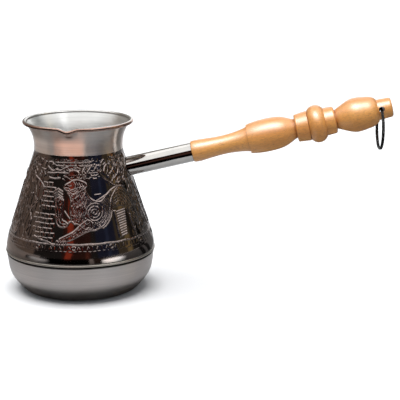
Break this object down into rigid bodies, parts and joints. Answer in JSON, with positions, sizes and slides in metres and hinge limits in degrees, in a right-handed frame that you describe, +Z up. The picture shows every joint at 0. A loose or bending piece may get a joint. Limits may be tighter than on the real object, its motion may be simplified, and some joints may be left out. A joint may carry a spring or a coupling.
{
  "type": "turkish coffee pot",
  "caption": "Long-handled coffee pot: two-part embossed copper vessel with pouring lip, chromed ferrule, turned wooden handle that unscrews, and a hanging ring.",
  "frame": {"origin": "centre of the vessel's flat underside, on the surface it stands on", "axes": "+Z up along the vessel's axis, +X along the handle seen from above, +Y completes the right-handed frame, so the pouring lip points to -Y (4 degrees past it)"},
  "size_m": [0.2407, 0.0936, 0.122],
  "materials": {
    "patinated_copper": "embossed copper, dark patina rubbed back on the ridges, lacquered; inside tinned",
    "brushed_copper": "brushed, tinned copper",
    "boss_steel": "plain turned steel",
    "ferrule_chrome": "mirror chrome",
    "insert_brass": "plain brass",
    "lacquered_beech": "turned, clear gloss lacquer",
    "ring_steel": "dark nickel-plated spring steel"
  },
  "bodies": {
    "vessel": {"vessel_body": "patinated_copper", "base_cup": "brushed_copper", "handle_boss": "boss_steel", "handle_stud": "boss_steel"},
    "ferrule": {"ferrule_tube": "ferrule_chrome"},
    "handle": {"wood_handle": "lacquered_beech", "threaded_insert": "insert_brass"},
    "ring": {"split_ring": "ring_steel"}
  },
  "joints": [
    {"name": "ferrule_slide", "type": "slide", "parent": "vessel", "child": "ferrule", "axis": [0.9732, 0, 0.23], "range_m": [0, 0.012]},
    {"name": "handle_turn", "type": "hinge", "parent": "ferrule", "child": "handle", "pos_m": [0.07785, 0, 0.0887], "axis": [0.9732, 0, 0.23], "range_deg": [0, 4320]},
    {"name": "ring_swing", "type": "hinge", "parent": "handle", "child": "ring", "pos_m": [0.18578, 0, 0.11422], "axis": [0.0517, -0.9863, 0.1564], "range_deg": [-6, 211]}
  ],
  "couplings": [
    {"joint": "handle_turn", "follows": "ferrule_slide", "rad_per_m": 6283.2}
  ]
}
